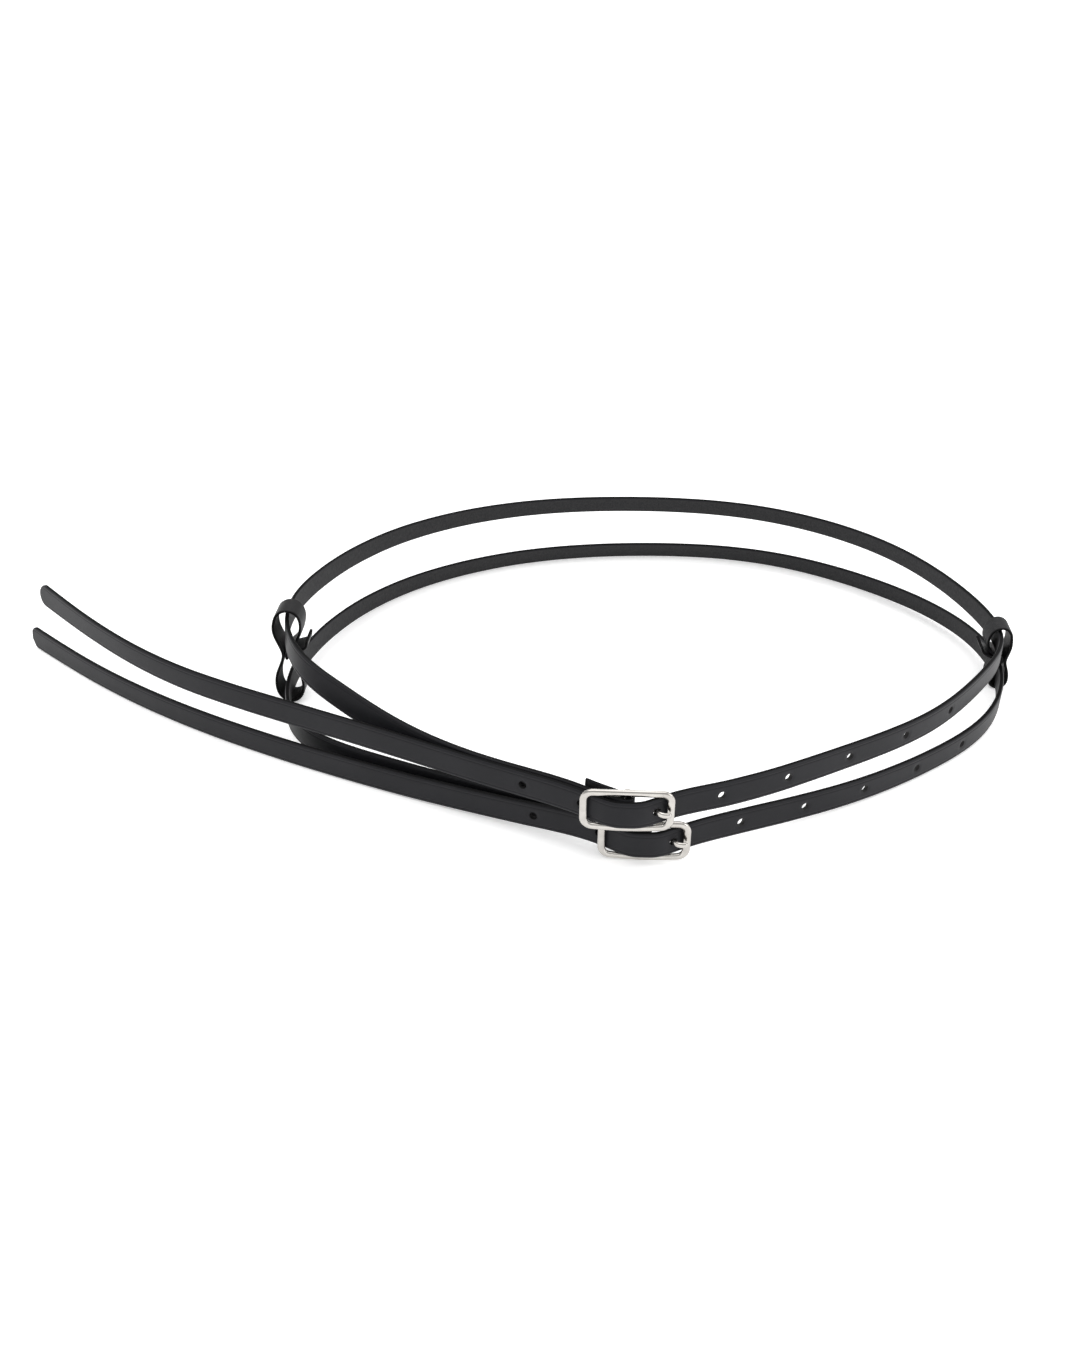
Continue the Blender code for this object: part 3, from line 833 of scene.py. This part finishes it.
def make_connector(side, outward_x, waist, heading, outline, hide, raw, thread):
    turn = math.radians(heading)
    sideways = outward_x * np.array([math.cos(turn), -math.sin(turn), 0.0])
    along_strap = np.array([math.sin(turn), math.cos(turn), 0.0])
    waist = np.array(waist)
    route = Route([waist + h * sideways + v * UP for h, v in outline])
    distances = route.stations(0.7, 6)
    points = route.at(distances)[:, :3]
    along = route.direction(distances)
    across = np.tile(along_strap, (len(points), 1))
    outward = np.cross(along, across)
    half = STRIP_WIDTH / 2.0 * np.ones(len(points))
    section = strip_section(STRIP_WIDTH, STRIP_THICKNESS, 0.38, 0.3, False, 0.8)
    thickness = STRIP_THICKNESS * np.ones(len(points))
    obj = strip(
        side + "_loop_leather",
        points,
        across,
        outward,
        half,
        -half,
        thickness,
        section,
        STRIP_THICKNESS,
        [hide, raw],
    )
    centres = [waist + offset * along_strap for offset in STITCH_PITCH * (np.arange(4) - 1.5)]
    ends = [(c - 3.0 * sideways, c + 3.0 * sideways) for c in centres]
    combine(obj, rods(side + "_awl", ends, STITCH_HOLE, 16, raw), "DIFFERENCE")
    return obj, saddle_stitch(side + "_loop_thread", centres, sideways, 2.32, 2.32, thread)


def saddle_stitch(name, centres, through, front, back, thread):
    """Two-ply thread over and under between the holes, with each stitch pulled down at its ends."""
    centres = np.array(centres)
    rows = []
    for i in range(len(centres) - 1):
        side, lift = (1.0, front) if i % 2 == 0 else (-1.0, back)
        a, b = centres[i], centres[i + 1]
        for share, height in STITCH_ARCH:
            rows.append(a + share * (b - a) + side * lift * height * through)
    first = centres[0] - back * through
    last = centres[-1] + (-1.0 if len(centres) % 2 else 1.0) * -front * through
    route = Route([first, *rows, last])
    length = route.knots[-1]
    distances = np.linspace(0.0, length, int(length / 0.12))
    points = route.at(distances)[:, :3]
    along = route.direction(distances)
    side_axis = unit(np.cross(along, np.tile(UP + 0.01, (len(points), 1))))
    other_axis = np.cross(along, side_axis)
    ply = THREAD_DIAMETER * 0.27
    strands = []
    for phase in (0.0, math.pi):
        turn = distances / 0.75 * math.pi + phase
        line = points + ply * (np.cos(turn)[:, None] * side_axis + np.sin(turn)[:, None] * other_axis)
        strands.append(line)
    vertices, faces = [], []
    for line in strands:
        begin = len(vertices)
        ring = np.linspace(0.0, 2.0 * math.pi, 8, endpoint=False)
        for p, s, o in zip(line, side_axis, other_axis):
            vertices.extend(p + ply * (math.cos(a) * s + math.sin(a) * o) for a in ring)
        for i in range(len(line) - 1):
            for j in range(8):
                k = (j + 1) % 8
                here = begin + 8 * i
                faces.append((here + j, here + k, here + 8 + k, here + 8 + j))
        last_ring = begin + 8 * (len(line) - 1)
        faces += [tuple(range(begin + 7, begin - 1, -1)), tuple(range(last_ring, last_ring + 8))]
    return mesh_object(name, vertices, faces, [thread])


def turnback_stitch(side, strap, buckle, raw, thread):
    slope = math.atan2(2.5, 5.0)
    through = -math.sin(slope) * buckle.u + math.cos(slope) * buckle.n
    offsets = STITCH_PITCH * (np.arange(4) - 1.5)
    centres = [buckle.point(*TURNBACK_SEAM, w) for w in offsets]
    ends = [(c - 2.7 * through, c + 2.5 * through) for c in centres]
    combine(strap, rods(side + "_awl", ends, STITCH_HOLE, 16, raw), "DIFFERENCE")
    return saddle_stitch(side + "_turnback_thread", centres, through, 2.35, 2.45, thread)


# ---------------------------------------------------------------- studio


def make_camera():
    lens = bpy.data.cameras.new("camera")
    lens.lens = CAMERA_LENS
    lens.sensor_width = 36.0
    lens.clip_start, lens.clip_end = 0.01, 20.0
    camera = bpy.data.objects.new("camera", lens)
    camera.location = (np.array(CAMERA_PLACE) + CENTRE) * MM
    camera.rotation_euler = (math.radians(CAMERA_PITCH), 0.0, 0.0)
    bpy.context.scene.collection.objects.link(camera)
    bpy.context.scene.camera = camera


def softbox(name, place, aim, size, power, colour=(1.0, 1.0, 1.0)):
    lamp = bpy.data.lights.new(name, "AREA")
    lamp.shape = "RECTANGLE"
    lamp.size, lamp.size_y = size
    lamp.energy = power
    lamp.color = colour
    obj = bpy.data.objects.new(name, lamp)
    obj.location = place
    obj.rotation_mode = "QUATERNION"
    obj.rotation_quaternion = (Vector(aim) - Vector(place)).to_track_quat("-Z", "Y")
    bpy.context.scene.collection.objects.link(obj)


def make_sky(name):
    """A white room, a little darker part of the way up, so that rounded metal shows light and dark bands."""
    world = bpy.data.worlds.new(name)
    world.use_nodes = True
    tree = world.node_tree
    split = tree.nodes.new("ShaderNodeSeparateXYZ")
    tree.links.new(tree.nodes.new("ShaderNodeTexCoord").outputs["Generated"], split.inputs["Vector"])
    ramp = tree.nodes.new("ShaderNodeFloatCurve")
    line = ramp.mapping.curves[0]
    for point, (height, light) in zip(line.points, (SKY[0], SKY[-1])):
        point.location = height, light / SKY_BRIGHTEST
    for height, light in SKY[1:-1]:
        line.points.new(height, light / SKY_BRIGHTEST)
    ramp.mapping.update()
    tree.links.new(split.outputs["Z"], ramp.inputs["Value"])
    gain = tree.nodes.new("ShaderNodeMath")
    gain.operation = "MULTIPLY"
    tree.links.new(ramp.outputs["Value"], gain.inputs[0])
    gain.inputs[1].default_value = SKY_BRIGHTEST
    tree.links.new(gain.outputs["Value"], tree.nodes["Background"].inputs["Strength"])
    tree.nodes["Background"].inputs["Color"].default_value = (1.0, 1.0, 1.0, 1.0)
    return world


def make_studio():
    shape = bmesh.new()
    bmesh.ops.create_grid(shape, x_segments=1, y_segments=1, size=60.0)
    floor = scratch("floor", shape, pale_floor("floor_paint"))
    floor.location = (0.0, 0.0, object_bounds()[0].z - 0.0002)
    bpy.context.scene.world = make_sky("studio")
    softbox("key", (-0.7, -0.6, 1.5), (0.0, 0.0, 0.0), (1.0, 1.0), 2.5)
    softbox("fill", (1.1, -0.5, 0.5), (0.1, 0.0, 0.0), (0.6, 0.6), 3.0)
    softbox("back", (0.3, 1.4, 1.1), (0.0, 0.0, 0.0), (1.6, 0.7), 3.0)
    bpy.context.scene.view_settings.view_transform = "Standard"


# ---------------------------------------------------------------- the belt


def place(obj, body, node, slot):
    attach(obj, body)
    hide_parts(node)


def main():
    make_camera()
    hide = leather("strap_hide", (0.0112, 0.0112, 0.0132), (0.0145, 0.0145, 0.0168), 2600.0)
    strip_hide = leather("loop_hide", (0.0045, 0.0045, 0.0050), (0.0065, 0.0065, 0.0072), 2800.0)
    raw = cut_edge("cut_leather")
    frame_metal = nickel("frame_metal")
    prong_metal = nickel("prong_metal")
    thread = waxed_thread("black_thread")
    for side, tail, ring, origin, clipped in (
        ("upper", UPPER_TAIL, UPPER_RING, UPPER_BUCKLE, False),
        ("lower", LOWER_TAIL, LOWER_RING, LOWER_BUCKLE, True),
    ):
        buckle = Buckle(origin)
        strap = make_strap(side, tail, ring, buckle, clipped, hide, raw)
        stitches = turnback_stitch(side, strap, buckle, raw, thread)
        sharpen(strap, 45)
        place(strap, side + "_belt", side + "_strap", "strap_leather")
        place(stitches, side + "_belt", side + "_turnback_stitching", "thread")
        place(make_frame(side, buckle, frame_metal), side + "_buckle", side + "_buckle_frame", "frame_nickel")
        place(make_prong(side, buckle, prong_metal), side + "_tongue", side + "_prong", "prong_nickel")
    for side, outward_x, waist, heading, outline in (
        ("right", 1, RIGHT_WAIST, RIGHT_HEADING, RIGHT_LOOP),
        ("left", -1, LEFT_WAIST, 0.0, LEFT_LOOP),
    ):
        loop, stitches = make_connector(side, outward_x, waist, heading, outline, strip_hide, raw, thread)
        sharpen(loop, 45)
        place(loop, side + "_loop", side + "_connector", "connector_leather")
        place(stitches, side + "_loop", side + "_connector_stitching", "thread")
    make_studio()


main()
bpy.context.view_layer.update()
